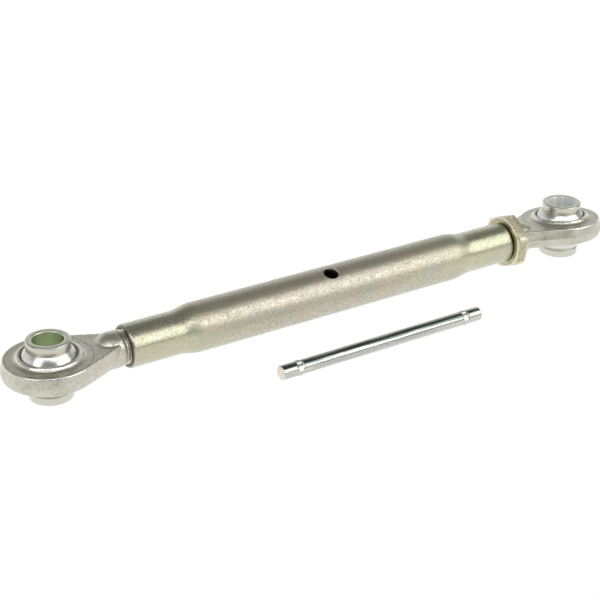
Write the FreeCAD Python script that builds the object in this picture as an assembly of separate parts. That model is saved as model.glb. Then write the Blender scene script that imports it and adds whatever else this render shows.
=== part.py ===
"""Tractor top link, category 2: turnbuckle tube, two forged ball ends, lock nut and a loose turning bar."""
import FreeCAD
import Part
import math
import os

# The frame: origin at the front ball's centre, +X along the link to the rear ball, +Z up along the ball bores.
# Everything is in millimetres and degrees, and the link is drawn fully closed, lying on its balls.

# Ball bushes
ball_width = 51.0
ball_bore_d = 25.5
ball_bore_chamfer = 1.2
ball_sphere_d = 50.0
collar_d = 36.0
collar_edge = 1.3
undercut_width = 1.3
undercut_depth = 0.9

# Forged eye: a drafted ring with a rolled lip on each side that holds the ball
seat_clearance = 0.05
eye_d = 77.6            # at the parting line
eye_top = 9.2           # parting line to the upper face
eye_bottom = 8.2        # parting line to the lower face
eye_draft = 1.6         # taken off the radius at the upper face
eye_upper_round = 1.4
eye_lower_round = 6.0
lip_height = 12.6       # top of the lip above the parting line
lip_ridge_d = 47.6
lip_foot_d = 56.0
lip_slope_height = 10.2
lip_skirt_slope = 32.0  # fall from the lip's foot to the face of the eye
lip_bevel = 0.7         # how far the lip's inner edge lies under its ridge

# Forged neck and threaded shank
web_end_width = 29.0
web_setback = 3.5       # how far short of the neck's end the web has run into it
neck_step = 0.5         # how far the neck stands proud of the thread, in radius
neck_start = 40.5       # eye centre to the foot of the neck's domed shoulder
neck_dome_run = 12.5    # length over which the shoulder rises to the full neck
neck_dome_r = 14.5
neck_end = 59.5
thread_clearance = 0.06
shank_tip_gap = 32.0    # between the tips of the two shanks inside the closed link
shank_chamfer = 2.0

# Turnbuckle tube, swaged down at both ends
tube_length = 396.0
tube_d = 42.4
tube_wall = 4.5
shank_clearance = 1.7   # between the tube's bore and the thread that slides in it
swage_wall = 3.5        # over the thread, in the narrow ends
swage_length = 46.0
shoulder_length = 20.0
swage_edge = 1.6
mouth_chamfer = 1.2
hole_d = 13.0
hole_lean = 20.0        # lean of the cross hole from +Z towards -Y
hole_countersink = 0.5

# Where the ends stand when the link is closed
front_exposed = 65.0    # front ball centre to the tube's end
nut_gap = 0.3           # between the tube's rear end and the lock nut
rear_exposed = 73.0     # tube's rear end to the rear ball centre
rear_eye_roll = -5.5    # the rear eye stands this far round from the front one

# Lock nut
nut_af = 46.0
nut_thickness = 12.6
nut_roll = 7.0          # turn of the hexagon from a corner straight up
nut_face_step = 0.5     # the round face is this much smaller in radius than the flats
nut_chamfer_angle = 30.0
nut_mouth_chamfer = 0.8

# Turning bar, loose on the ground beside the link
bar_d = 12.0
bar_length = 205.0
bar_edge = 0.8
bar_centre_x = 270.0
bar_offset = 76.0       # from the link's axis to the bar's
notch_from_end = 17.0
notch_length = 6.0
notch_depth = 1.6
notch_facing = 45.0     # the notches face this far above the horizontal, away from the link
ear_height = 0.7        # how far each ear stands proud of the bar
ear_length = 4.6

origin = FreeCAD.Vector(0, 0, 0)
x_axis = FreeCAD.Vector(1, 0, 0)
y_axis = FreeCAD.Vector(0, 1, 0)
z_axis = FreeCAD.Vector(0, 0, 1)

tube_front = front_exposed
tube_rear = tube_front + tube_length
tube_centre = tube_front + tube_length / 2
rear_ball_x = tube_rear + rear_exposed
shank_end = (rear_ball_x - shank_tip_gap) / 2
thread_d = tube_d - 2 * (tube_wall + shank_clearance)
neck_d = thread_d + 2 * neck_step
web_end = neck_end - web_setback
swage_d = thread_d + 2 * swage_wall
thread_bore_r = thread_d / 2 + thread_clearance
seat_r = ball_sphere_d / 2 + seat_clearance
lip_mouth_height = lip_height - lip_bevel
lip_mouth_r = math.sqrt(seat_r ** 2 - lip_mouth_height ** 2)


def vec(x, y, z):
    return FreeCAD.Vector(x, y, z)


def revolved(profile, axis):
    """A solid turned about an axis through the origin, from a closed list of edges."""
    face = Part.Face(Part.Wire(Part.__sortEdges__(profile)))
    return face.revolve(origin, axis, 360)


def polyline(points):
    """Edges that join a closed list of points."""
    closed = points + points[:1]
    return [Part.makeLine(a, b) for a, b in zip(closed, closed[1:])]


def turned(points):
    """A solid turned about X from (x, radius) points of its section."""
    return revolved(polyline([vec(x, 0, r) for x, r in points]), x_axis)


def rounded(corners):
    """Edges of a closed outline in the XZ plane, from (x, z, radius) corners with tangent arcs."""
    ends = []
    arcs = []
    count = len(corners)
    for k, (x, z, radius) in enumerate(corners):
        here = vec(x, 0, z)
        before = vec(corners[k - 1][0], 0, corners[k - 1][1]) - here
        after = vec(corners[(k + 1) % count][0], 0, corners[(k + 1) % count][1]) - here
        before.normalize()
        after.normalize()
        half_angle = before.getAngle(after) / 2
        trim = radius / math.tan(half_angle)
        ends.append((here + before * trim, here + after * trim))
        if radius:
            inward = (before + after).normalize()
            middle = here + inward * (radius / math.sin(half_angle) - radius)
            arcs.append(Part.Arc(ends[k][0], middle, ends[k][1]).toShape())
    lines = [Part.makeLine(ends[k][1], ends[(k + 1) % count][0]) for k in range(count)]
    return arcs + lines


def make_ball():
    """A ball with a collar on each side, bored through along Z, and an undercut beside the sphere."""
    half = ball_width / 2
    bore_r = ball_bore_d / 2
    collar_r = collar_d / 2
    sphere_r = ball_sphere_d / 2
    groove_r = collar_r - undercut_depth
    groove_low = math.sqrt(sphere_r ** 2 - collar_r ** 2)
    groove_high = groove_low + undercut_width
    upper = [
        (bore_r, half - ball_bore_chamfer),
        (bore_r + ball_bore_chamfer, half),
        (collar_r - collar_edge, half),
        (collar_r, half - collar_edge),
        (collar_r, groove_high),
        (groove_r, groove_high),
        (groove_r, groove_low),
        (collar_r, groove_low),
    ]
    lower = [(r, -z) for r, z in reversed(upper)]
    right = [vec(r, 0, z) for r, z in upper]
    left = [vec(r, 0, z) for r, z in lower]
    edges = [Part.makeLine(a, b) for a, b in zip(right, right[1:])]
    edges.append(Part.Arc(right[-1], vec(sphere_r, 0, 0), left[0]).toShape())
    edges += [Part.makeLine(a, b) for a, b in zip(left, left[1:])]
    edges.append(Part.makeLine(left[-1], right[0]))
    return revolved(edges, z_axis)


def make_head():
    """The round of the eye: drafted from the parting line to both faces, with a rolled lip on each side."""
    head_r = eye_d / 2
    sides = []
    for face_z, edge_round in ((eye_top, eye_upper_round), (eye_bottom, eye_lower_round)):
        skirt_r = lip_foot_d / 2 + (lip_slope_height - face_z) / math.tan(math.radians(lip_skirt_slope))
        sides.append([
            (head_r - draft_at(face_z), face_z, edge_round),
            (skirt_r, face_z, 0),
            (lip_foot_d / 2, lip_slope_height, 0),
            (lip_ridge_d / 2 + lip_bevel, lip_height, 0),
            (lip_ridge_d / 2, lip_height, 0),
            (lip_mouth_r, lip_mouth_height, 0),
        ])
    upper, lower = sides
    corners = [(head_r, 0, 0)] + upper + [(x, -z, radius) for x, z, radius in reversed(lower)]
    return revolved(rounded(corners), z_axis)


def draft_at(height):
    """What the draft takes off the eye's outline at this distance from the parting line."""
    return eye_draft * height / eye_top


def web_plan(z, inset):
    """Corners of the web at height z: from the axis to where its sides touch the head, and on to the neck."""
    head_r = eye_d / 2
    end_y = web_end_width / 2
    slope = math.asin(head_r / math.hypot(web_end, end_y)) - math.atan2(end_y, web_end)
    touch_x = (head_r - inset) * math.sin(slope)
    touch_y = (head_r - inset) * math.cos(slope)
    end_y -= inset / math.cos(slope)
    plan = [(0, 0), (touch_x, -touch_y), (web_end, -end_y), (web_end, end_y), (touch_x, touch_y)]
    return [vec(x, y, z) for x, y in plan]


def make_web_half(face_z, edge_round):
    """Half of the tapering web, from the parting line to one face, with its two long edges rounded."""
    low, high = sorted((0, face_z))
    inner = web_plan(low, draft_at(abs(low)))
    outer = web_plan(high, draft_at(abs(high)))
    sides = [[inner[k - 1], inner[k], outer[k], outer[k - 1]] for k in range(len(inner))]
    faces = [Part.Face(Part.makePolygon(points + points[:1])) for points in [inner[::-1], outer] + sides]
    solid = Part.makeSolid(Part.makeShell(faces))
    long_edges = [e for e in solid.Edges
                  if all(abs(v.Z - face_z) < 0.001 and v.X > 1 for v in e.Vertexes)
                  and abs(e.Vertexes[0].X - e.Vertexes[1].X) > 1]
    return solid.makeFillet(edge_round, long_edges)


def make_rod_end():
    """One forging: eye, web, round neck and threaded shank along +X, with the ball seat cut out."""
    neck_r = neck_d / 2
    thread_r = thread_d / 2
    dome_foot, dome_middle, dome_top = [
        vec(neck_start + neck_dome_run - run, 0, neck_r - neck_dome_r + math.sqrt(neck_dome_r ** 2 - run ** 2))
        for run in (neck_dome_run, neck_dome_run / 2, 0)
    ]
    dome = Part.Arc(dome_foot, dome_middle, dome_top).toShape()
    outline = [
        dome_top,
        vec(neck_end, 0, neck_r),
        vec(neck_end, 0, thread_r),
        vec(shank_end - shank_chamfer, 0, thread_r),
        vec(shank_end, 0, thread_r - shank_chamfer),
        vec(shank_end, 0, 0),
        vec(neck_start, 0, 0),
        dome_foot,
    ]
    edges = [dome] + [Part.makeLine(a, b) for a, b in zip(outline, outline[1:])]
    shank = revolved(edges, x_axis)
    web = [make_web_half(eye_top, eye_upper_round), make_web_half(-eye_bottom, eye_lower_round)]
    forging = make_head().fuse(web + [shank]).removeSplitter()
    seat = Part.makeSphere(seat_r)
    mouth = Part.makeCylinder(lip_mouth_r, ball_width, vec(0, 0, -ball_width / 2), z_axis)
    return forging.cut(seat).cut(mouth)


def tube_section(end_r, body_r, end_run, edge):
    """Half of a turned outline, from one end to the middle: narrow end, smooth S-shaped shoulder, body."""
    start = tube_front
    rise = start + end_run
    full = rise + shoulder_length
    middle = vec((rise + full) / 2, 0, (end_r + body_r) / 2)
    # two equal arcs, tangent to the end, to each other and to the body
    height = body_r - end_r
    bend_r = (shoulder_length ** 2 + height ** 2) / (4 * height)
    half_turn = math.asin(shoulder_length / 2 / bend_r) / 2
    low_mid = vec(rise + bend_r * math.sin(half_turn), 0, end_r + bend_r * (1 - math.cos(half_turn)))
    high_mid = vec(full - bend_r * math.sin(half_turn), 0, body_r - bend_r * (1 - math.cos(half_turn)))
    return [
        Part.makeLine(vec(start, 0, end_r - edge), vec(start + abs(edge), 0, end_r)),
        Part.makeLine(vec(start + abs(edge), 0, end_r), vec(rise, 0, end_r)),
        Part.Arc(vec(rise, 0, end_r), low_mid, middle).toShape(),
        Part.Arc(middle, high_mid, vec(full, 0, body_r)).toShape(),
        Part.makeLine(vec(full, 0, body_r), vec(tube_centre, 0, body_r)),
    ]


def mirrored_about_middle(edges):
    plane_point = vec(tube_centre, 0, 0)
    return [e.mirror(plane_point, x_axis) for e in edges]


def make_tube():
    """The swaged tube: narrow threaded ends, wider middle, open right through, with a cross hole for the bar."""
    outer_r = tube_d / 2
    inner_r = outer_r - tube_wall
    outside = tube_section(swage_d / 2, outer_r, swage_length, swage_edge)
    inside = tube_section(thread_bore_r, inner_r, swage_length, -mouth_chamfer)
    end_face = Part.makeLine(outside[0].Vertexes[0].Point, inside[0].Vertexes[0].Point)
    half = outside + inside + [end_face]
    tube = revolved(half + mirrored_about_middle(half), x_axis)
    lean = math.radians(hole_lean)
    along = vec(0, -math.sin(lean), math.cos(lean))
    centre = vec(tube_centre, 0, 0)
    drill = Part.makeCylinder(hole_d / 2, 2 * tube_d, centre - along * tube_d, along)
    tube = tube.cut(drill)
    sink_top = hole_d / 2 + hole_countersink + tube_wall
    sink_depth = hole_countersink + tube_wall
    for side in (along, along * -1):
        mouth = centre + side * (outer_r - hole_countersink)
        sink = Part.makeCone(hole_d / 2, sink_top, sink_depth, mouth, side)
        tube = tube.cut(sink)
    return tube


def make_nut():
    """A hexagon lock nut with both faces chamfered, on the rear shank against the tube."""
    corner_r = nut_af / 2 / math.cos(math.pi / 6)
    start = tube_rear + nut_gap
    end = start + nut_thickness
    turns = [math.radians(90 + nut_roll + 60 * k) for k in range(6)]
    corners = [vec(start, corner_r * math.cos(turn), corner_r * math.sin(turn)) for turn in turns]
    prism = Part.Face(Part.makePolygon(corners + corners[:1])).extrude(vec(nut_thickness, 0, 0))
    face_r = nut_af / 2 - nut_face_step
    drop = (corner_r - face_r) * math.tan(math.radians(nut_chamfer_angle))
    rounds = turned([(start, 0), (start, face_r), (start + drop, corner_r),
                     (end - drop, corner_r), (end, face_r), (end, 0)])
    mouth_r = thread_bore_r + nut_mouth_chamfer
    hole = turned([(start, 0), (start, mouth_r), (start + nut_mouth_chamfer, thread_bore_r),
                   (end - nut_mouth_chamfer, thread_bore_r), (end, mouth_r), (end, 0)])
    return prism.common(rounds).cut(hole)


def make_bar():
    """A plain round bar with a notch pressed in near each end, which pushes out an ear to either side of it."""
    half = bar_length / 2
    bar_r = bar_d / 2
    bar = turned([(-half, 0), (-half, bar_r - bar_edge), (-half + bar_edge, bar_r),
                  (half - bar_edge, bar_r), (half, bar_r - bar_edge), (half, 0)])
    ear_r = (ear_height ** 2 + (ear_length / 2) ** 2) / (2 * ear_height)
    floor = bar_r - notch_depth
    for side in (-1, 1):
        place = side * (half - notch_from_end)
        for ear_side in (-1, 1):
            bar = bar.fuse(Part.makeSphere(ear_r, vec(place, ear_side * (bar_r + ear_height - ear_r), 0)))
        foot = (notch_length - notch_depth) / 2
        top = foot + bar_d
        notch = [vec(place - foot, -bar_d, floor), vec(place + foot, -bar_d, floor),
                 vec(place + top, -bar_d, floor + bar_d), vec(place - top, -bar_d, floor + bar_d)]
        bar = bar.cut(Part.Face(Part.makePolygon(notch + notch[:1])).extrude(vec(0, 2 * bar_d, 0)))
    bar.rotate(origin, x_axis, 90 - notch_facing)
    bar.translate(vec(bar_centre_x, -bar_offset, bar_r - ball_width / 2))
    return bar


def placed_at_rear(shape):
    """A copy turned end for end about Z and set at the rear ball's centre."""
    moved = shape.copy()
    moved.rotate(origin, z_axis, 180)
    moved.translate(vec(rear_ball_x, 0, 0))
    return moved


def main():
    ball = make_ball()
    rod_end = make_rod_end()
    rear_rod_end = rod_end.copy()
    rear_rod_end.rotate(origin, x_axis, -rear_eye_roll)
    nodes = {
        "front_rod_end": rod_end,
        "front_ball": ball,
        "centre_tube": make_tube(),
        "lock_nut": make_nut(),
        "rear_rod_end": placed_at_rear(rear_rod_end),
        "rear_ball": placed_at_rear(ball),
        "turning_bar": make_bar(),
    }
    os.makedirs("parts", exist_ok=True)
    for name, shape in nodes.items():
        shape.exportStep(f"parts/{name}.step")
        box = shape.optimalBoundingBox()
        print(f"{name}: {len(shape.Solids)} solid, valid {shape.isValid()}, {shape.Volume / 1000:.1f} cm3,"
              f" x {box.XMin:.1f} to {box.XMax:.1f}, y {box.YMin:.1f} to {box.YMax:.1f},"
              f" z {box.ZMin:.1f} to {box.ZMax:.1f}")


main()
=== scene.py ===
import math
import bpy
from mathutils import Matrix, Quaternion, Vector


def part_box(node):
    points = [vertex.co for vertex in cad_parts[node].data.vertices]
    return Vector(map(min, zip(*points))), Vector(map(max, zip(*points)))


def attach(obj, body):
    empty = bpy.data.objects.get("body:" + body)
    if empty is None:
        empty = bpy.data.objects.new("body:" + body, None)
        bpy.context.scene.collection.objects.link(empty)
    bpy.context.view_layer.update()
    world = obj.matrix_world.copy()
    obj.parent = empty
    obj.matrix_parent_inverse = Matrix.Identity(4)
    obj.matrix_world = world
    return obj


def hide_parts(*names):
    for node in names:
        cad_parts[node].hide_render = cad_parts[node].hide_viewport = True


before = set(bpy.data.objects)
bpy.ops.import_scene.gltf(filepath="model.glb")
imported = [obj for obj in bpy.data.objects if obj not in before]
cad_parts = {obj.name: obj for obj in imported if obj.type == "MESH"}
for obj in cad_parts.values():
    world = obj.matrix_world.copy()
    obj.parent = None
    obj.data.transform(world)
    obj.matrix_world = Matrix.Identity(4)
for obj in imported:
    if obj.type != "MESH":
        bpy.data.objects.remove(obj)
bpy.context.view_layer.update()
bpy.ops.object.select_all(action="DESELECT")
print("frame loaded with", len(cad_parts), "nodes")

mm = 0.001  # lengths below are in millimetres unless a note says otherwise


# Outlines: lists of (distance along the axis, distance from it)

def softened(corners, steps=4):
    # corners are (along, out, rounding); a rounding of 0 keeps the corner sharp
    points = []
    for k, (along, out, rounding) in enumerate(corners):
        here = Vector((along, out))
        if not rounding:
            points.append(here)
            continue
        before = (Vector(corners[k - 1][:2]) - here).normalized()
        after = (Vector(corners[(k + 1) % len(corners)][:2]) - here).normalized()
        halfAngle = before.angle(after) / 2
        trim = rounding / math.tan(halfAngle)
        centre = here + (before + after).normalized() * rounding / math.sin(halfAngle)
        first = here + before * trim - centre
        last = here + after * trim - centre
        for step in range(steps + 1):
            spoke = first.lerp(last, step / steps).normalized()
            points.append(centre + spoke * rounding)
    return [tuple(point) for point in points]


def spaced(points, gap):
    # adds points so that no two neighbours are further apart than the gap
    result = [points[0]]
    for start, end in zip(points, points[1:]):
        parts = max(1, math.ceil(math.dist(start, end) / gap))
        for k in range(1, parts + 1):
            result.append(tuple(a + (b - a) * k / parts for a, b in zip(start, end)))
    return result


def eased(start, end, low, high, steps):
    # an S-shaped run from one radius to another
    ts = [k / steps for k in range(steps + 1)]
    return [(start + (end - start) * t, low + (high - low) * t * t * (3 - 2 * t)) for t in ts]


# Modelling

def pick(piece):
    bpy.ops.object.select_all(action="DESELECT")
    piece.select_set(True)
    bpy.context.view_layer.objects.active = piece


def ballCentre(name):
    low, high = (Vector(corner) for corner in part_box(name + "_ball"))
    return (low + high) / 2


def around(axis, along, out, turn):
    # the point so far along the axis and so far out from it, turned round it
    across = (out * math.cos(turn), out * math.sin(turn))
    place = (along, *across) if axis == "X" else (*across, along)
    return Vector(place) * mm


def drawn(name, axis, outline, turn=0.0):
    # one vertex, pushed along the outline edge by edge; the object is left in edit mode
    points = [around(axis, along, out, turn) for along, out in outline]
    bpy.ops.mesh.primitive_plane_add(size=mm, location=points[0])
    piece = bpy.context.object
    piece.name = name
    bpy.ops.object.mode_set(mode="EDIT")
    bpy.ops.mesh.select_mode(type="VERT")
    bpy.ops.mesh.merge(type="CENTER")
    for start, end in zip(points, points[1:]):
        bpy.ops.mesh.extrude_vertices_move(TRANSFORM_OT_translate={"value": end - start})
    bpy.ops.mesh.select_all(action="SELECT")
    return piece


def tidied(piece):
    # from edit mode: doubles merged, faces outwards, and the place kept in the mesh
    bpy.ops.mesh.select_all(action="SELECT")
    bpy.ops.mesh.remove_doubles(threshold=0.002 * mm)
    bpy.ops.mesh.normals_make_consistent(inside=False)
    bpy.ops.object.mode_set(mode="OBJECT")
    bpy.ops.object.transform_apply(location=True, rotation=True, scale=True)
    return piece


def spun(name, axis, outline, steps, turn=0.0):
    piece = drawn(name, axis, outline, turn)
    line = (1, 0, 0) if axis == "X" else (0, 0, 1)
    bpy.ops.mesh.spin(steps=steps, angle=2 * math.pi, center=(0, 0, 0), axis=line)
    return tidied(piece)


def applied(piece, kind, **settings):
    pick(piece)
    bpy.ops.object.modifier_add(type=kind)
    modifier = piece.modifiers[-1]
    for key, value in settings.items():
        setattr(modifier, key, value)
    bpy.ops.object.modifier_apply(modifier=modifier.name)
    return piece


def worked(piece, tool, operation):
    applied(piece, "BOOLEAN", object=tool, operation=operation, solver="EXACT")
    bpy.data.objects.remove(tool)
    return piece


def uneven(piece, grain, height):
    texture = bpy.data.textures.new(piece.name + "Grain", "CLOUDS")
    texture.noise_scale = grain * mm
    texture.noise_depth = 2
    applied(piece, "DISPLACE", texture=texture, texture_coords="LOCAL", strength=height * mm, mid_level=0.5)
    return piece


def laid(piece, place, turns):
    # set down at a place and turned, with both kept in the mesh
    pick(piece)
    piece.location = Vector(place) * mm
    piece.rotation_euler = [math.radians(turn) for turn in turns]
    bpy.ops.object.transform_apply(location=True, rotation=True, scale=True)
    return piece


def finished(piece, body, material, node=None, smoothBelow=35):
    pick(piece)
    bpy.ops.object.shade_smooth_by_angle(angle=math.radians(smoothBelow))
    piece.data.materials.clear()
    piece.data.materials.append(material)
    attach(piece, body)
    if node:
        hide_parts(node)
    print("made", piece.name, "with", len(piece.data.polygons), "faces")
    return piece


# Materials

coatIor = 1.9

plating = {
    "patchNoise": {"detail": 3.0, "roughness": 0.55, "distortion": 0.6},
    "grainNoise": {"detail": 2.0, "roughness": 0.6},
    "pitEdge": (0.5, 0.68),
    "sparkEdge": (0.32, 0.5),
}


class Signal:
    # one output of a node, to be used in sums
    def __init__(self, maker, socket):
        self.maker = maker
        self.socket = socket

    def __add__(self, other):
        return self.maker.maths("ADD", self, other)

    def __sub__(self, other):
        return self.maker.maths("SUBTRACT", self, other)

    def __rsub__(self, other):
        return self.maker.maths("SUBTRACT", other, self)

    def __mul__(self, other):
        return self.maker.maths("MULTIPLY", self, other)

    def __neg__(self):
        return self.maker.maths("MULTIPLY", self, -1.0)

    def __truediv__(self, other):
        return self.maker.maths("DIVIDE", self, other)

    __radd__ = __add__
    __rmul__ = __mul__


class NodeMaker:
    def __init__(self, owner):
        owner.use_nodes = True
        self.tree = owner.node_tree
        self.tree.nodes.clear()

    def node(self, kind, settings=None, sockets=None, output=0):
        made = self.tree.nodes.new(kind)
        for key, value in (settings or {}).items():
            if key == "stops":
                self.setStops(made.color_ramp, value)
            else:
                setattr(made, key, value)
        for key, value in (sockets or {}).items():
            if isinstance(value, Signal):
                self.tree.links.new(value.socket, made.inputs[key])
            else:
                made.inputs[key].default_value = value
        return Signal(self, made.outputs[output]) if made.outputs else None

    def setStops(self, ramp, stops):
        while len(ramp.elements) < len(stops):
            ramp.elements.new(1.0)
        for element, (position, colour) in zip(ramp.elements, stops):
            element.position = position
            element.color = (*colour, 1.0)

    def maths(self, operation, *values):
        return self.node("ShaderNodeMath", {"operation": operation}, dict(enumerate(values)))

    def clamped(self, value):
        return self.node("ShaderNodeClamp", sockets={"Value": value})

    def step(self, value, low, high):
        # 0 below low, 1 above high, smooth between
        limits = {"Value": value, "From Min": low, "From Max": high}
        return self.node("ShaderNodeMapRange", {"interpolation_type": "SMOOTHSTEP"}, limits)

    def below(self, value, low, high):
        # 1 below low, 0 above high, smooth between
        return 1.0 - self.step(value, low, high)

    def mixed(self, factor, first, second):
        return self.node("ShaderNodeMix", {"data_type": "RGBA"}, {0: factor, 6: first, 7: second}, output=2)

    def noise(self, place, size, detail=2.0, roughness=0.5, distortion=0.0):
        # size is that of one blotch, in millimetres
        sockets = {"Vector": place, "Scale": 1000.0 / size, "Detail": detail,
                   "Roughness": roughness, "Distortion": distortion}
        return self.node("ShaderNodeTexNoise", sockets=sockets)

    def place(self, scale=(1.0, 1.0, 1.0), turn=(0.0, 0.0, 0.0), shift=(0.0, 0.0, 0.0)):
        coordinates = self.node("ShaderNodeTexCoord", output=3)
        sockets = {"Vector": coordinates, "Scale": scale, "Rotation": turn, "Location": shift}
        return self.node("ShaderNodeMapping", sockets=sockets)

    def parts(self, vector):
        split = self.node("ShaderNodeSeparateXYZ", sockets={"Vector": vector})
        return [Signal(self, socket) for socket in split.socket.node.outputs]

    def metal(self, colour, roughness, height, look, metallic=1.0):
        # the relief's depth is in millimetres; the coat is the clear film over the zinc
        relief = {"Height": height, "Distance": look["grainDepth"] * mm, "Strength": look["grainStrength"]}
        bump = self.node("ShaderNodeBump", sockets=relief)
        sockets = {"Base Color": colour, "Roughness": roughness, "Metallic": metallic, "Normal": bump,
                   "Coat Weight": look["coat"], "Coat Roughness": look["coatRough"], "Coat IOR": coatIor}
        surface = self.node("ShaderNodeBsdfPrincipled", sockets=sockets)
        self.node("ShaderNodeOutputMaterial", sockets={"Surface": surface})


def solid(colour):
    return (*colour, 1.0)


def platedMetal(name, look, extras=None):
    # zinc over steel: drifting patches of colour, a fine speckle and a relief of small grains
    material = bpy.data.materials.new(name)
    maker = NodeMaker(material)
    flow = maker.place(scale=look["stretch"])
    patches = maker.noise(flow, look["patchSize"], **plating["patchNoise"])
    colour = maker.node("ShaderNodeValToRGB", {"stops": look["patches"]}, {"Fac": patches})
    even = maker.place()
    grain = maker.noise(even, look["grainSize"], **plating["grainNoise"])
    cloud = maker.noise(even, look["cloudSize"])
    pit = maker.step(grain, *plating["pitEdge"])
    spark = maker.below(grain, *plating["sparkEdge"])
    colour = maker.mixed(pit * look["speckle"], colour, solid(look["speckColour"]))
    colour = maker.mixed(spark * look["sparkle"], colour, solid(look["sparkColour"]))
    roughness = look["roughness"] + (grain - 0.5) * look["grainRough"] + (cloud - 0.5) * look["cloudRough"]
    height = grain + (cloud - 0.5) * look["cloudHeight"]
    if extras:
        colour, roughness, height = extras(maker, colour, roughness, height)
    maker.metal(colour, maker.clamped(roughness), height, look)
    return material


# Camera

cameraView = {
    "azimuth": -33.236,
    "elevation": 25.712,
    "roll": 0.343,
    "distance": 1325.6,
    "lens": 90.82,
    "sensor": 36.0,
    "clipStart": 10.0,
    "aimOffset": (-26.33, -9.18),  # from the middle of the link, along the picture's right and up
}


def setCamera(view):
    azimuth = math.radians(view["azimuth"])
    elevation = math.radians(view["elevation"])
    back = Vector((math.sin(azimuth) * math.cos(elevation),
                   -math.cos(azimuth) * math.cos(elevation),
                   math.sin(elevation)))
    turn = (-back).to_track_quat("-Z", "Y") @ Quaternion((0, 0, 1), math.radians(view["roll"]))
    right = turn @ Vector((1, 0, 0))
    up = turn @ Vector((0, 1, 0))
    middle = (ballCentre("front") + ballCentre("rear")) / 2
    aim = middle + (right * view["aimOffset"][0] + up * view["aimOffset"][1]) * mm
    bpy.ops.object.camera_add(location=aim + back * view["distance"] * mm, rotation=turn.to_euler())
    camera = bpy.context.object
    camera.data.lens = view["lens"]
    camera.data.sensor_width = view["sensor"]
    camera.data.clip_start = view["clipStart"] * mm
    bpy.context.scene.camera = camera


setCamera(cameraView)
print("camera set")


# Turnbuckle tube

tube = {
    "endWide": 37.0,
    "bodyWide": 42.4,
    "mouthWide": 30.12,
    "wall": 4.5,
    "skin": 0.02,  # how far the body stays within the solid
    "endRun": 46.0,
    "shoulderRun": 20.0,
    "lipRun": 8.0,
    "edgeRound": 0.9,
    "edgeBevel": 1.6,
    "mouthBevel": 1.2,
    "mouthRound": 0.3,
    "cornerRound": 0.4,
    "holeWide": 13.0,
    "holeLean": 20.0,
    "holeLip": 0.6,
    "holeRim": 0.4,  # how far the lip's rim lies under the surface, as a share of the lip
    "drillSpare": 4.0,
    "steps": 160,
    "outerSteps": 12,
    "innerSteps": 6,
    "holeSteps": 64,
    "ringGap": 4.0,
    "innerGap": 12.0,
    "waveSize": 34.0,
    "waveHeight": 0.22,
}


def makeTube():
    low, high = (corner[0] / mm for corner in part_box("centre_tube"))
    middle = (low + high) / 2
    endR, bodyR, mouthR = tube["endWide"] / 2, tube["bodyWide"] / 2, tube["mouthWide"] / 2
    boreR = bodyR - tube["wall"]
    bevel, mouth = tube["edgeBevel"], tube["mouthBevel"]
    lipEnd = low + tube["lipRun"]
    rise = low + tube["endRun"]
    full = rise + tube["shoulderRun"]
    lip = softened([
        (lipEnd, mouthR, 0),
        (low + mouth, mouthR, tube["cornerRound"]),
        (low, mouthR + mouth, tube["mouthRound"]),
        (low, endR - bevel, tube["cornerRound"]),
        (low + bevel, endR, tube["edgeRound"]),
        (lipEnd, endR, 0),
    ], steps=3)
    outside = lip + eased(rise, full, endR, bodyR - tube["skin"], tube["outerSteps"])
    inside = [(lipEnd, mouthR)] + eased(rise, full, mouthR, boreR, tube["innerSteps"])
    mirroredOut = [(2 * middle - along, out) for along, out in reversed(outside)]
    mirroredIn = [(2 * middle - along, out) for along, out in inside]
    outer = spaced(outside + mirroredOut, tube["ringGap"])
    outline = outer + spaced(mirroredIn + inside[::-1], tube["innerGap"])[1:]
    piece = spun("tubeShell", "X", outline, tube["steps"])
    holeR = tube["holeWide"] / 2
    spare, flare = tube["drillSpare"], tube["holeLip"]
    reach = bodyR + spare
    rim = flare * tube["holeRim"]
    side = [(reach, 0), (reach, holeR + spare + flare),
            (bodyR - rim, holeR + flare), (bodyR - 2 * flare, holeR)]
    drill = spun("tubeDrill", "Z", [(-along, out) for along, out in side] + side[::-1], tube["holeSteps"])
    laid(drill, (middle, 0, 0), (tube["holeLean"], 0, 0))
    uneven(piece, tube["waveSize"], tube["waveHeight"])
    return worked(piece, drill, "DIFFERENCE")


tubeLook = {
    "stretch": (0.35, 1.0, 1.0),
    "patchSize": 30.0,
    "patches": [
        (0.32, (0.47, 0.46, 0.30)),
        (0.44, (0.55, 0.49, 0.35)),
        (0.56, (0.48, 0.47, 0.35)),
        (0.68, (0.58, 0.48, 0.37)),
    ],
    "speckle": 0.35,
    "speckColour": (0.26, 0.24, 0.18),
    "sparkle": 0.35,
    "sparkColour": (0.78, 0.77, 0.72),
    "cloudSize": 12.0,
    "grainSize": 1.9,
    "roughness": 0.44,
    "grainRough": 0.7,
    "cloudRough": 0.12,
    "cloudHeight": 0.3,
    "grainDepth": 0.13,
    "grainStrength": 1.0,
    "coat": 1.0,
    "coatRough": 0.36,
}

tubeEnds = {
    "bodyFrom": 2.0,
    "smoother": 0.13,
    "calmer": 0.6,
    "tint": (0.50, 0.52, 0.32),
    "tintShare": 0.55,
    "tintFrom": 70.0,
    "tintFull": 160.0,
    # painted shade for the mouth round the thread and the end face's rim
    "mouthShade": (0.07, 0.045, 0.03),
    "mouthEdge": (16.6, 17.4),
    "faceEdge": (17.8, 18.4),
    "faceRun": (0.6, 1.3),
    # painted shade inside the bore and the cross hole
    "dark": (0.05, 0.05, 0.04),
    "holeEdge": (6.5, 7.0),
    "skinEdge": (19.6, 20.6),
    "boreEdge": (16.8, 17.2),
}


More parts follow.
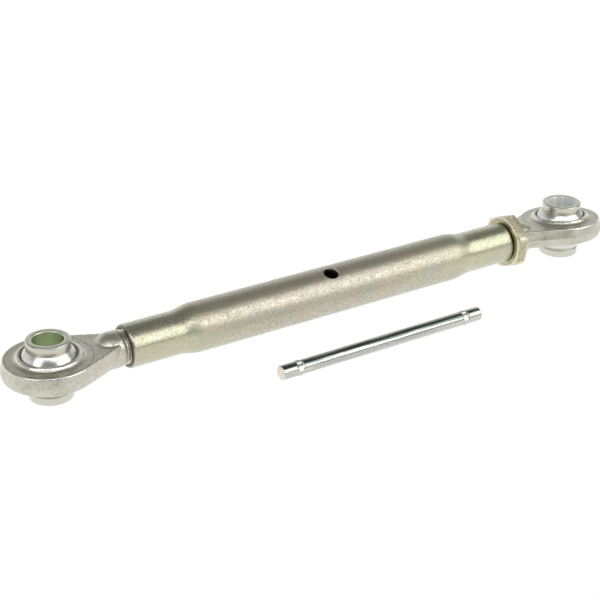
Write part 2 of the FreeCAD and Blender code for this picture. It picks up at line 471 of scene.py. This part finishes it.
def tubeZinc():
    low, high = (corner[0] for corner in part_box("centre_tube"))

    def smoothEnds(maker, colour, roughness, height):
        # smooth greenish ends, painted shade in the mouth and on the rim of the end face, and painted shade
        # inside the bore and the cross hole
        t = tubeEnds

        def within(distance, edge):
            return maker.below(distance, edge[0] * mm, edge[1] * mm)

        along, across, up = maker.parts(maker.place())
        fromEnd = maker.maths("MINIMUM", along - low, high - along)
        shoulder = ((tube["endRun"] + t["bodyFrom"]) * mm, (tube["endRun"] + tube["shoulderRun"]) * mm)
        body = maker.step(fromEnd, *shoulder)
        ends = 1.0 - body
        radius = maker.maths("SQRT", across * across + up * up)
        middle = (low + high) / 2
        fromMiddle = maker.maths("ABSOLUTE", along - middle)
        tint = maker.step(fromMiddle, t["tintFrom"] * mm, t["tintFull"] * mm) * t["tintShare"]
        colour = maker.mixed(tint, colour, solid(t["tint"]))
        # painted shade: a dark ring in the mouth and on the rim of the end face
        inMouth = within(radius, t["mouthEdge"]) * ends
        onFace = within(fromEnd, t["faceRun"]) * within(radius, t["faceEdge"])
        mouthShaded = maker.clamped(maker.maths("MAXIMUM", inMouth, onFace))
        colour = maker.mixed(mouthShaded, colour, solid(t["mouthShade"]))
        # painted shade: dark inside the cross hole and the bore
        lean = math.radians(tube["holeLean"])
        beside = across * math.cos(lean) + up * math.sin(lean)
        fromHole = maker.maths("SQRT", (along - middle) * (along - middle) + beside * beside)
        inHole = within(fromHole, t["holeEdge"]) * within(radius, t["skinEdge"])
        inside = within(radius, t["boreEdge"]) * body
        holeShade = maker.clamped(maker.maths("MAXIMUM", inHole, inside))
        colour = maker.mixed(holeShade, colour, solid(t["dark"]))
        return colour, roughness - ends * t["smoother"], height * (1.0 - ends * t["calmer"])

    return platedMetal("tubeZinc", tubeLook, smoothEnds)


finished(makeTube(), "tube", tubeZinc(), "centre_tube")


# Forged rod ends

ends = (("front", False), ("rear", True))

forging = {
    "eyeWide": 77.6,
    "faceUp": 9.2,
    "faceDown": 8.2,
    "draft": 1.6,
    "upperRound": 1.3,
    "lowerRound": 6.0,
    "partingRound": 4.0,
    "seatR": 25.4,
    "lipHeight": 12.6,
    "lipRidgeR": 23.8,
    "lipBackR": 25.6,
    "lipFootR": 27.6,
    "lipFootHeight": 10.2,
    "lipBevel": 0.7,
    "lipRound": 1.3,
    "footRound": 0.5,
    "skirtUpR": 29.6,
    "skirtUpRound": 1.0,
    "skirtDownR": 31.2,
    "skirtDownRound": 1.2,
    "seatSteps": 10,
    "headSteps": 128,
    "webEnd": 56.0,
    "webEndWide": 29.0,
    "webRound": 0.7,  # as a share of the eye's lower round
    "webRoundSteps": 4,
    "webCutR": 30.0,
    "webCutHigh": 60.0,
    "webCutSteps": 96,
    "neckR": 15.48,
    "neckRoot": 34.0,
    "neckRootR": 6.0,
    "domeStart": 40.5,
    "domeBend": 14.5,
    "domeRun": 12.5,
    "domeSteps": 8,
    "neckEnd": 59.5,
    "neckRound": 0.8,
    "tipRun": 0.5,
    "tipR": 13.6,
    "neckSteps": 96,
    "rollUp": -5.5,
    "voxel": 0.45,
    "blend": 3,
    "blendShare": 0.5,
    "waves": ((14.0, 0.22), (3.5, 0.08)),  # grain and height of each
    "keep": 0.55,
}


def makeHead():
    f = forging
    mouthHeight = f["lipHeight"] - f["lipBevel"]
    mouthR = math.sqrt(f["seatR"] ** 2 - mouthHeight ** 2)
    seat = [(z, math.sqrt(f["seatR"] ** 2 - z ** 2))
            for z in (mouthHeight * (1 - k / f["seatSteps"]) for k in range(2 * f["seatSteps"] + 1))]
    drop = f["draft"] * f["faceDown"] / f["faceUp"]
    headR = f["eyeWide"] / 2
    rim = softened([
        (-mouthHeight, mouthR, 0),
        (-f["lipHeight"], f["lipRidgeR"], 0),
        (-f["lipHeight"], f["lipBackR"], f["lipRound"]),
        (-f["lipFootHeight"], f["lipFootR"], f["footRound"]),
        (-f["faceDown"], f["skirtDownR"], f["skirtDownRound"]),
        (-f["faceDown"], headR - drop, f["lowerRound"]),
        (0, headR, f["partingRound"]),
        (f["faceUp"], headR - f["draft"], f["upperRound"]),
        (f["faceUp"], f["skirtUpR"], f["skirtUpRound"]),
        (f["lipFootHeight"], f["lipFootR"], f["footRound"]),
        (f["lipHeight"], f["lipBackR"], f["lipRound"]),
        (f["lipHeight"], f["lipRidgeR"], 0),
    ])
    return spun("eyeHead", "Z", rim + seat, f["headSteps"])


def webHalf(x):
    # half the width at x of the web's plan, whose straight edge touches the head's circle, and where it touches
    f = forging
    headR, endHalf = f["eyeWide"] / 2, f["webEndWide"] / 2
    slope = math.asin(headR / math.hypot(f["webEnd"], endHalf)) - math.atan2(endHalf, f["webEnd"])
    return endHalf + (f["webEnd"] - x) * math.tan(slope), headR * math.sin(slope)


def makeWeb():
    # the plan is drawn at the parting line and raised to the upper face, then again for the lower one
    f = forging
    touch = webHalf(0)[1]
    plan = [(touch, webHalf(touch)[0]), (f["webEnd"], webHalf(f["webEnd"])[0])]
    plan += [(x, -y) for x, y in reversed(plan)]
    pieces = []
    for height, edge in ((f["faceUp"], f["upperRound"]), (-f["faceDown"], f["lowerRound"] * f["webRound"])):
        bpy.ops.mesh.primitive_plane_add(size=2 * mm, location=(0, 0, 0))
        piece = bpy.context.object
        for vertex, (x, y) in zip(piece.data.vertices, (plan[3], plan[2], plan[0], plan[1])):
            vertex.co = (x * mm, y * mm, 0)
        bpy.ops.object.mode_set(mode="EDIT")
        bpy.ops.mesh.select_mode(type="FACE")
        bpy.ops.mesh.select_all(action="SELECT")
        bpy.ops.mesh.extrude_region_move(TRANSFORM_OT_translate={"value": (0, 0, height * mm)})
        inset = 1 - f["draft"] * abs(height) / f["faceUp"] / webHalf(f["webCutR"])[0]
        bpy.ops.transform.resize(value=(1, inset, 1), center_override=(0, 0, 0))
        bpy.ops.mesh.bevel(offset=edge * mm, segments=f["webRoundSteps"], affect="EDGES")
        pieces.append(tidied(piece))
    web = worked(pieces[0], pieces[1], "UNION")
    bpy.ops.mesh.primitive_cylinder_add(vertices=f["webCutSteps"], radius=f["webCutR"] * mm,
                                        depth=f["webCutHigh"] * mm)
    return worked(web, bpy.context.object, "DIFFERENCE")


def makeNeck():
    f = forging
    full = f["domeStart"] + f["domeRun"]
    tip = f["neckEnd"] + f["tipRun"]
    runs = [f["domeRun"] * (1 - k / f["domeSteps"]) for k in range(f["domeSteps"] + 1)]
    dome = [(full - run, f["neckR"] - f["domeBend"] + math.sqrt(f["domeBend"] ** 2 - run ** 2)) for run in runs]
    root = [(f["neckRoot"], 0), (f["neckRoot"], f["neckRootR"]), (f["domeStart"], f["neckRootR"])]
    end = softened([(full, f["neckR"], 0), (f["neckEnd"], f["neckR"], f["neckRound"]), (tip, f["tipR"], 0)])
    return spun("eyeNeck", "X", root + dome + end[1:] + [(tip, 0)], f["neckSteps"])


def joined(name, pieces):
    bpy.ops.object.select_all(action="DESELECT")
    for piece in pieces:
        piece.select_set(True)
    bpy.context.view_layer.objects.active = pieces[0]
    bpy.ops.object.join()
    pieces[0].name = name
    return pieces[0]


def atRear(piece):
    # the rear end is rolled a little about the link and faces the other way
    laid(piece, (0, 0, 0), (-forging["rollUp"], 0, 0))
    return laid(piece, ballCentre("rear") / mm, (0, 0, 180))


def makeForging(name, rear):
    piece = joined(name, [makeHead(), makeWeb(), makeNeck()])
    applied(piece, "REMESH", mode="VOXEL", voxel_size=forging["voxel"] * mm)
    applied(piece, "SMOOTH", factor=forging["blendShare"], iterations=forging["blend"])
    if rear:
        atRear(piece)
    for grain, height in forging["waves"]:
        uneven(piece, grain, height)
    applied(piece, "DECIMATE", ratio=forging["keep"])
    return piece


thread = {
    "pitch": 3.0,
    "crestR": 14.97,
    "rootR": 13.2,
    "rootRun": 0.75,
    "crestRun": 0.375,
    "start": 58.0,
    "tipBevel": 2.0,
    "tipShort": 0.02,  # how far the tip stays within the solid
    "leadTurns": 1.5,
    "spareTurns": 3,
    "weld": 0.01,
    "steps": 44,
}


def makeThread(name, rear):
    t = thread
    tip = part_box("front_rod_end")[1][0] / mm - t["tipShort"]
    pitch = -t["pitch"] if rear else t["pitch"]
    flank = (t["pitch"] - t["rootRun"] - t["crestRun"]) / 2
    ridge = [(0, t["rootR"]), (t["rootRun"], t["rootR"]), (t["rootRun"] + flank, t["crestR"]),
             (t["rootRun"] + flank + t["crestRun"], t["crestR"]), (t["pitch"], t["rootR"])]
    turns = math.ceil((tip - t["start"]) / t["pitch"]) + t["spareTurns"]
    first = t["start"] - t["pitch"] * t["leadTurns"]
    if rear:
        first += t["pitch"] * (turns - 1)
    piece = drawn(name, "X", [(first + along, out) for along, out in ridge], math.pi / 2)
    tidied(piece)
    applied(piece, "SCREW", axis="X", screw_offset=pitch * mm, iterations=turns, steps=t["steps"],
            render_steps=t["steps"], use_merge_vertices=True, merge_threshold=t["weld"] * mm)
    pick(piece)
    bpy.ops.object.mode_set(mode="EDIT")
    for place, outwards in ((t["start"], -1), (tip, 1)):
        bpy.ops.mesh.select_all(action="SELECT")
        bpy.ops.mesh.bisect(plane_co=(place * mm, 0, 0), plane_no=(outwards, 0, 0),
                            use_fill=True, clear_outer=True)
    tidied(piece)
    for vertex in piece.data.vertices:
        out = math.hypot(vertex.co.y, vertex.co.z) / mm
        limit = t["crestR"] - max(0.0, vertex.co.x / mm - (tip - t["tipBevel"]))
        if out > limit:
            vertex.co.y *= limit / out
            vertex.co.z *= limit / out
    return atRear(piece) if rear else piece


forgedLook = {
    "stretch": (1.0, 1.0, 1.0),
    "patchSize": 16.0,
    "patches": [
        (0.32, (0.50, 0.50, 0.39)),
        (0.50, (0.60, 0.59, 0.49)),
        (0.68, (0.66, 0.62, 0.52)),
    ],
    "speckle": 0.3,
    "speckColour": (0.32, 0.31, 0.24),
    "sparkle": 0.3,
    "sparkColour": (0.84, 0.83, 0.77),
    "cloudSize": 5.0,
    "grainSize": 1.7,
    "roughness": 0.40,
    "grainRough": 0.5,
    "cloudRough": 0.3,
    "cloudHeight": 1.2,
    "grainDepth": 0.14,
    "grainStrength": 0.9,
    "coat": 0.6,
    "coatRough": 0.32,
}

threadLook = dict(forgedLook, patchSize=8.0, roughness=0.33, grainStrength=0.2)

eyeWearAndPaintedLight = {
    # the bright tone is rubbed zinc and painted highlight together
    "bright": (0.90, 0.88, 0.82),
    "brightShare": 0.9,
    "smoother": 0.14,
    "headEdge": (38.0, 39.5),
    "webEdge": (17.0, 24.0),
    "wobbleSize": 9.0,
    "wobble": 1.6,
    "rimR": 36.9,
    "rimHalf": 0.7,
    "rimSoft": 0.6,
    "rimRise": (7.9, 8.4),
    # painted shade: a dark line on the face just inside the rim
    "rimShadeR": 35.1,
    "rimShadeHalf": 0.3,
    "rimShadeSoft": 0.5,
    "rimShadeWobble": 0.5,
    "rimShadeRise": (8.9, 9.1),
    "paintedShadeTone": (0.26, 0.25, 0.18),
    "rimShadeShare": 0.7,
    "lipRise": (10.6, 11.4),
    "lipOuter": (27.5, 29.0),
    "lipInner": (24.1, 24.7),
    "lipBright": 0.8,
    "lipWobble": 0.4,
    # painted shade in the gap between the lip and the ball
    "gapEdge": (23.9, 24.4),
    "gapRise": (9.0, 10.0),
    "gapShare": 0.8,
    "faceRise": (8.4, 9.0),
    "faceTone": (0.50, 0.48, 0.36),
    "faceShare": 0.7,
}


def forgedZinc(name, rear):
    w = eyeWearAndPaintedLight

    def eyeWearAndLight(maker, colour, roughness, height):
        # lips and rim rubbed bright and given a painted highlight, painted shade as a dark line just inside the
        # rim and in the gap round the ball, and a duller face between
        turn = (math.radians(-forging["rollUp"]) if rear else 0.0, 0.0, 0.0)
        across, deep, up = maker.parts(maker.place(turn=turn, shift=-ballCentre(name)))
        radius = maker.maths("SQRT", across * across + deep * deep) / mm
        high = maker.maths("ABSOLUTE", up) / mm
        toLink = -across / mm if rear else across / mm
        onHead = maker.below(radius, *w["headEdge"]) * maker.below(toLink, *w["webEdge"])
        wobble = (maker.noise(maker.place(), w["wobbleSize"]) - 0.5) * w["wobble"]
        rim = maker.maths("ABSOLUTE", radius - w["rimR"])
        rim = maker.below(rim, w["rimHalf"], w["rimHalf"] + w["rimSoft"])
        rim = rim * maker.step(high, *w["rimRise"]) * onHead
        # painted shade as a dark line just inside the rim
        rimShade = maker.maths("ABSOLUTE", radius - w["rimShadeR"] + wobble * w["rimShadeWobble"])
        rimShade = maker.below(rimShade, w["rimShadeHalf"], w["rimShadeHalf"] + w["rimShadeSoft"])
        rimShade = rimShade * maker.step(high, *w["rimShadeRise"])
        lip = maker.step(high, *w["lipRise"]) * maker.below(radius, *w["lipOuter"])
        lip = lip * maker.step(radius, *w["lipInner"])
        # painted shade in the gap between the lip and the ball
        gap = maker.below(radius, *w["gapEdge"]) * maker.step(high, *w["gapRise"])
        face = maker.step(high, *w["faceRise"]) * (1.0 - lip) * onHead
        colour = maker.mixed(face * w["faceShare"], colour, solid(w["faceTone"]))
        colour = maker.mixed(rimShade * w["rimShadeShare"], colour, solid(w["paintedShadeTone"]))
        colour = maker.mixed(gap * w["gapShare"], colour, solid(w["paintedShadeTone"]))
        # rubbed bright and painted highlight on the rim and the lips
        bright = maker.clamped(rim + lip * maker.clamped(w["lipBright"] + wobble * w["lipWobble"]))
        colour = maker.mixed(bright * w["brightShare"], colour, solid(w["bright"]))
        return colour, roughness - bright * w["smoother"], height

    return platedMetal(name + "ForgedZinc", forgedLook, eyeWearAndLight)


def makeRodEnds():
    threadZinc = platedMetal("threadZinc", threadLook)
    for name, rear in ends:
        body = name + "_end"
        piece = makeForging(name + "Forging", rear)
        finished(piece, body, forgedZinc(name, rear), name + "_rod_end", smoothBelow=70)
        finished(makeThread(name + "Thread", rear), body, threadZinc)


makeRodEnds()


# Balls

ball = {
    "wide": 51.0,
    "boreR": 12.75,
    "boreBevel": 1.2,
    "sphereR": 25.0,
    "collarR": 18.0,
    "collarRound": 1.3,
    "grooveRun": 1.3,
    "grooveDeep": 0.9,
    "grooveRound": 0.25,
    "footRound": 0.3,
    "crownSteps": 14,
    "steps": 144,
}


def makeBall(name, rear):
    b = ball
    half = b["wide"] / 2
    grooveLow = math.sqrt(b["sphereR"] ** 2 - b["collarR"] ** 2)
    grooveR = b["collarR"] - b["grooveDeep"]
    upper = softened([
        (0, b["boreR"], 0),
        (half, b["boreR"], b["boreBevel"]),
        (half, b["collarR"], b["collarRound"]),
        (grooveLow + b["grooveRun"], b["collarR"], b["footRound"]),
        (grooveLow + b["grooveRun"], grooveR, b["grooveRound"]),
        (grooveLow, grooveR, b["grooveRound"]),
        (grooveLow, b["collarR"], 0),
    ])
    start = math.asin(grooveLow / b["sphereR"])
    rises = [start * (1 - k / b["crownSteps"]) for k in range(1, b["crownSteps"] + 1)]
    crown = [(b["sphereR"] * math.sin(rise), b["sphereR"] * math.cos(rise)) for rise in rises]
    top = upper + crown
    outline = top + [(-along, out) for along, out in reversed(top[:-1])]
    piece = spun(name, "Z", outline, b["steps"])
    if rear:
        atRear(laid(piece, (0, 0, 0), (forging["rollUp"], 0, 0)))
    return piece


ballLook = {
    "colour": (0.74, 0.74, 0.69),
    "dull": (0.52, 0.52, 0.44),
    "dullShare": 0.5,
    "markSize": 5.0,
    "markNoise": {"detail": 3.0, "roughness": 0.6},
    "markEdge": (0.48, 0.7),
    "collar": (0.62, 0.61, 0.52),
    "collarShare": 0.8,
    "collarRise": (17.2, 17.6),
    "boreColours": {"front": (0.78, 0.85, 0.66), "rear": (0.80, 0.84, 0.80)},
    "boreMetal": {"front": 1.0, "rear": 0.3},
    "boreEdge": (0.3, 1.0),  # beyond the bore's radius
    # painted reflections: bright streaks down the rear bore
    "boreReflection": (1.0, 1.0, 0.97),
    "streaks": {"front": [], "rear": [(-0.33, 0.10), (0.25, 0.06)]},
    "streakEdge": (0.7, 1.6),  # as shares of a streak's half width
    "streakTurn": -33.0,
    "farSoft": 2.0,
    "roughness": 0.25,
    "boreRougher": 0.1,
    "ringSize": 1.1,
    "ringRough": 0.2,
    "grainDepth": 0.035,
    "grainStrength": 0.8,
    "coat": 0.1,
    "coatRough": 0.2,
}


def ballSteel(name):
    # turned steel under bright zinc: fine rings round the bore's axis and a tinted bore with painted
    # reflections as bright streaks down its far wall
    look = ballLook
    material = bpy.data.materials.new(name + "BallSteel")
    maker = NodeMaker(material)
    across, deep, up = maker.parts(maker.place(shift=-ballCentre(name)))
    radius = maker.maths("SQRT", across * across + deep * deep)
    ringPlace = maker.node("ShaderNodeCombineXYZ", sockets={"X": radius, "Y": up})
    rings = maker.noise(ringPlace, look["ringSize"])
    marks = maker.noise(maker.place(), look["markSize"], **look["markNoise"])
    onCollar = maker.step(maker.maths("ABSOLUTE", up), *(rise * mm for rise in look["collarRise"]))
    inBore = maker.below(radius, *((ball["boreR"] + edge) * mm for edge in look["boreEdge"]))
    dull = maker.step(marks, *look["markEdge"]) * look["dullShare"]
    colour = maker.mixed(dull, solid(look["colour"]), solid(look["dull"]))
    colour = maker.mixed(onCollar * look["collarShare"], colour, solid(look["collar"]))
    colour = maker.mixed(inBore, colour, solid(look["boreColours"][name]))
    turn = math.radians(look["streakTurn"])
    side = (across * math.cos(turn) + deep * math.sin(turn)) / (ball["boreR"] * mm)
    far = maker.step(deep * math.cos(turn) - across * math.sin(turn), 0.0, look["farSoft"] * mm)
    # painted reflections as bright streaks down the far wall of the bore
    for centre, half in look["streaks"][name]:
        fromStreak = maker.maths("ABSOLUTE", side - centre)
        boreReflection = maker.below(fromStreak, *(half * share for share in look["streakEdge"]))
        colour = maker.mixed(maker.clamped(boreReflection * far * inBore), colour, solid(look["boreReflection"]))
    roughness = look["roughness"] + (rings - 0.5) * look["ringRough"] + inBore * look["boreRougher"]
    metallic = 1.0 - inBore * (1.0 - look["boreMetal"][name])
    maker.metal(colour, maker.clamped(roughness), rings, look, metallic)
    return material


for name, rear in ends:
    finished(makeBall(name + "Ball", rear), name + "_ball_body", ballSteel(name), name + "_ball")


# Lock nut

nut = {
    "flats": 46.0,
    "roll": 97.0,
    "faceStep": 0.5,
    "bevelAngle": 30.0,
    "mouthBevel": 0.9,
    "boreR": 15.06,
    "spare": 1.0,
    "edgeRound": 0.35,
    "edgeRoundSteps": 3,
    "edgeAngle": 25.0,
    "roundSteps": 144,
    "boreSteps": 96,
}


def makeNut():
    n = nut
    low, high = (corner[0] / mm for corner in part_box("lock_nut"))
    cornerR = n["flats"] / 2 / math.cos(math.pi / 6)
    faceR = n["flats"] / 2 - n["faceStep"]
    drop = (cornerR - faceR) * math.tan(math.radians(n["bevelAngle"]))
    prism = [(low, 0), (low, cornerR), (high, cornerR), (high, 0)]
    piece = spun("lockNut", "X", prism, 6, math.radians(n["roll"]))
    rounds = spun("nutRounds", "X", [
        (low, 0), (low, faceR), (low + drop, cornerR), (high - drop, cornerR), (high, faceR), (high, 0),
    ], n["roundSteps"])
    worked(piece, rounds, "INTERSECT")
    mouth, spare = n["mouthBevel"], n["spare"]
    reachR = n["boreR"] + mouth + spare
    bore = spun("nutBore", "X", [
        (low - spare, 0), (low - spare, reachR), (low + mouth, n["boreR"]),
        (high - mouth, n["boreR"]), (high + spare, reachR), (high + spare, 0),
    ], n["boreSteps"])
    worked(piece, bore, "DIFFERENCE")
    applied(piece, "BEVEL", width=n["edgeRound"] * mm, segments=n["edgeRoundSteps"], limit_method="ANGLE",
            angle_limit=math.radians(n["edgeAngle"]))
    return piece


nutLook = {
    "stretch": (1.0, 1.0, 1.0),
    "patchSize": 12.0,
    "patches": [
        (0.32, (0.38, 0.37, 0.22)),
        (0.50, (0.50, 0.46, 0.29)),
        (0.68, (0.58, 0.53, 0.36)),
    ],
    "speckle": 0.55,
    "speckColour": (0.20, 0.20, 0.13),
    "sparkle": 0.35,
    "sparkColour": (0.80, 0.77, 0.58),
    "cloudSize": 5.0,
    "grainSize": 1.6,
    "roughness": 0.34,
    "grainRough": 0.5,
    "cloudRough": 0.2,
    "cloudHeight": 0.5,
    "grainDepth": 0.1,
    "grainStrength": 0.8,
    "coat": 0.4,
    "coatRough": 0.3,
}

nutHighlights = {
    # painted highlight on the corners and the faces' outer rings
    "bright": (0.86, 0.82, 0.62),
    "brightShare": 0.75,
    "smoother": 0.1,
    "cornerEdge": (25.0, 26.0),
    "ringEdge": (22.3, 22.8),
    "faceEdge": (1.0, 1.8),
}


def nutZinc():
    low, high = (corner[0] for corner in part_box("lock_nut"))

    def highlitCorners(maker, colour, roughness, height):
        # painted highlights on the corners and on the outer ring of both faces
        w = nutHighlights
        along, across, up = maker.parts(maker.place())
        radius = maker.maths("SQRT", across * across + up * up) / mm
        fromFace = maker.maths("MINIMUM", along - low, high - along) / mm
        corner = maker.step(radius, *w["cornerEdge"])
        ring = maker.below(fromFace, *w["faceEdge"]) * maker.step(radius, *w["ringEdge"])
        cornerHighlight = maker.clamped(corner + ring) * w["brightShare"]
        return maker.mixed(cornerHighlight, colour, solid(w["bright"])), roughness - cornerHighlight * w["smoother"], height

    return platedMetal("nutZinc", nutLook, highlitCorners)


finished(makeNut(), "nut", nutZinc(), "lock_nut")


# Turning bar

bar = {
    "wide": 12.0,
    "edgeBevel": 0.8,
    "notchFromEnd": 17.0,
    "notchRun": 6.0,
    "notchDeep": 1.6,
    "notchFacing": 45.0,
    "earHigh": 0.55,
    "earRun": 4.6,
    "earHalf": 4.4,
    "earFade": 3.0,
    "fineRun": 8.0,
    "fineGap": 0.4,
    "plainGap": 8.0,
    "steps": 96,
}


def makeBar():
    # a round bar whose rings lie close together round each notch, where its vertices are then moved
    b = bar
    low, high = (Vector(corner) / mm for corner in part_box("turning_bar"))
    half, barR = (high.x - low.x) / 2, b["wide"] / 2
    notchAt = half - b["notchFromEnd"]
    outer, inner = notchAt + b["fineRun"], notchAt - b["fineRun"]
    cap = softened([(half, 0, 0), (half, barR, b["edgeBevel"]), (outer, barR, 0)])
    side = cap + spaced([(outer, barR), (inner, barR)], b["fineGap"])[1:]
    outline = side + spaced([(inner, barR), (-inner, barR)], b["plainGap"])[1:]
    outline += [(-along, out) for along, out in reversed(side[:-1])]
    piece = spun("turningBar", "X", outline, b["steps"])
    floor, foot = barR - b["notchDeep"], (b["notchRun"] - b["notchDeep"]) / 2
    for vertex in piece.data.vertices:
        x, y, z = vertex.co / mm
        away = abs(abs(x) - notchAt)
        if away < b["earRun"] / 2:
            swell = (1 - (2 * away / b["earRun"]) ** 2) * max(0.0, 1 - (z / b["earHalf"]) ** 2)
            y += math.copysign(b["earHigh"] * swell, y) * min(1.0, abs(y) / b["earFade"])
        z = min(z, floor + max(0.0, away - foot))
        vertex.co = Vector((x, y, z)) * mm
    return laid(piece, (low + high) / 2, (90 - b["notchFacing"], 0, 0))


barLook = {
    "stretch": (0.07, 1.0, 1.0),
    "patchSize": 4.5,
    "patches": [
        (0.34, (0.46, 0.48, 0.44)),
        (0.50, (0.60, 0.60, 0.54)),
        (0.66, (0.70, 0.68, 0.60)),
    ],
    "speckle": 0.3,
    "speckColour": (0.30, 0.33, 0.31),
    "sparkle": 0.25,
    "sparkColour": (0.86, 0.88, 0.84),
    "cloudSize": 5.0,
    "grainSize": 1.6,
    "roughness": 0.17,
    "grainRough": 0.25,
    "cloudRough": 0.1,
    "cloudHeight": 0.5,
    "grainDepth": 0.04,
    "grainStrength": 0.5,
    "coat": 0.0,
    "coatRough": 0.3,
}

barReflectionAndWear = {
    # painted reflection: the dark band along the upper side
    "darkReflection": (0.13, 0.18, 0.17),
    "bandShare": 0.95,
    "bandFrom": 38.0,
    "bandTo": 84.0,
    "bandSoft": 9.0,
    "bandWander": 60.0,
    "streakSize": 2.6,
    "streakStretch": 0.05,
    "endTone": (0.86, 0.78, 0.70),
    "endRun": (0.9, 0.5),
    "endRougher": 0.3,
}


def barZinc():
    low, high = (Vector(corner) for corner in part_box("turning_bar"))
    middle = (low + high) / 2

    def streaked(maker, colour, roughness, height):
        # a painted dark reflection as a band along the upper side, broken by pale streaks, and ends rubbed
        # clean
        w = barReflectionAndWear
        along, across, up = maker.parts(maker.place(shift=-middle))
        turned = maker.maths("ARCTAN2", up, -across) * math.degrees(1)
        streaks = maker.noise(maker.place(scale=(w["streakStretch"], 1.0, 1.0)), w["streakSize"], detail=3.0)
        turned = turned + (streaks - 0.5) * w["bandWander"]
        # painted reflection as a dark band along the upper side
        darkReflection = maker.step(turned, w["bandFrom"], w["bandFrom"] + w["bandSoft"])
        darkReflection = darkReflection * maker.below(turned, w["bandTo"] - w["bandSoft"], w["bandTo"])
        colour = maker.mixed(darkReflection * w["bandShare"], colour, solid(w["darkReflection"]))
        half = high.x - middle.x
        tip = maker.step(maker.maths("ABSOLUTE", along), *(half - run * mm for run in w["endRun"]))
        colour = maker.mixed(tip, colour, solid(w["endTone"]))
        return colour, roughness + tip * w["endRougher"], height

    return platedMetal("barZinc", barLook, streaked)


finished(makeBar(), "bar", barZinc(), "turning_bar")


# Floor, lamps and world

studio = {
    "floorSize": 14.0,  # in metres, like the places and sizes of the lamps
    "floorMiddle": (0.25, 0),
    "floorGap": 0.05,
    "floorTone": 0.92,
    "floorGlow": 1.0,
    "lampAim": (0.267, 0, 0),
    "lamps": {
        "key": {"place": (0.95, -1.25, 1.05), "size": (2.0, 1.5), "power": 16.0},
        "side": {"place": (-1.75, -0.35, 1.15), "size": (0.9, 0.9), "power": 5.5},
        "brow": {"place": (-0.73, -1.04, 2.03), "size": (2.0, 0.6), "power": 10.0},
    },
    "backTone": 0.85,
    "frontTone": 0.34,
    "backEdge": (-0.15, 0.45),
    "topTone": 0.20,
    "topEdge": (0.3, 0.75),
}


def paperFloor():
    material = bpy.data.materials.new("floorPaper")
    maker = NodeMaker(material)
    rays = [Signal(maker, socket) for socket in maker.node("ShaderNodeLightPath").socket.node.outputs]
    named = {signal.socket.name: signal for signal in rays}
    seen = maker.clamped(named["Is Camera Ray"] + named["Is Glossy Ray"] + named["Is Transmission Ray"])
    paper = maker.node("ShaderNodeBsdfDiffuse", sockets={"Color": solid([studio["floorTone"]] * 3)})
    glow = maker.node("ShaderNodeEmission", sockets={"Color": solid((1.0, 1.0, 1.0)), "Strength": 1.0})
    floor = maker.node("ShaderNodeMixShader", sockets={0: seen * studio["floorGlow"], 1: paper, 2: glow})
    maker.node("ShaderNodeOutputMaterial", sockets={"Surface": floor})
    return material


def setStudio():
    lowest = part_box("front_ball")[0][2]
    level = lowest - studio["floorGap"] * mm
    bpy.ops.mesh.primitive_plane_add(size=studio["floorSize"], location=(*studio["floorMiddle"], level))
    floor = bpy.context.object
    floor.name = "studioFloor"
    floor.data.materials.append(paperFloor())
    middle = Vector(studio["lampAim"])
    for name, lamp in studio["lamps"].items():
        place = middle + Vector(lamp["place"])
        facing = (middle - place).to_track_quat("-Z", "Y").to_euler()
        bpy.ops.object.light_add(type="AREA", location=place, rotation=facing)
        light = bpy.context.object
        light.name = name + "Lamp"
        light.data.shape = "RECTANGLE"
        light.data.size, light.data.size_y = lamp["size"]
        light.data.energy = lamp["power"]
    world = bpy.data.worlds.new("studioWorld")
    bpy.context.scene.world = world
    maker = NodeMaker(world)
    deep, up = maker.parts(maker.node("ShaderNodeTexCoord", output=0))[1:]
    behind = maker.step(deep, *studio["backEdge"])
    low = maker.below(up, *studio["topEdge"])
    wall = studio["frontTone"] + behind * (studio["backTone"] - studio["frontTone"])
    tone = studio["topTone"] + low * (wall - studio["topTone"])
    sky = maker.node("ShaderNodeBackground", sockets={"Color": tone, "Strength": 1.0})
    maker.node("ShaderNodeOutputWorld", sockets={"Surface": sky})


setStudio()
bpy.context.scene.view_settings.view_transform = "Standard"
print("studio set")
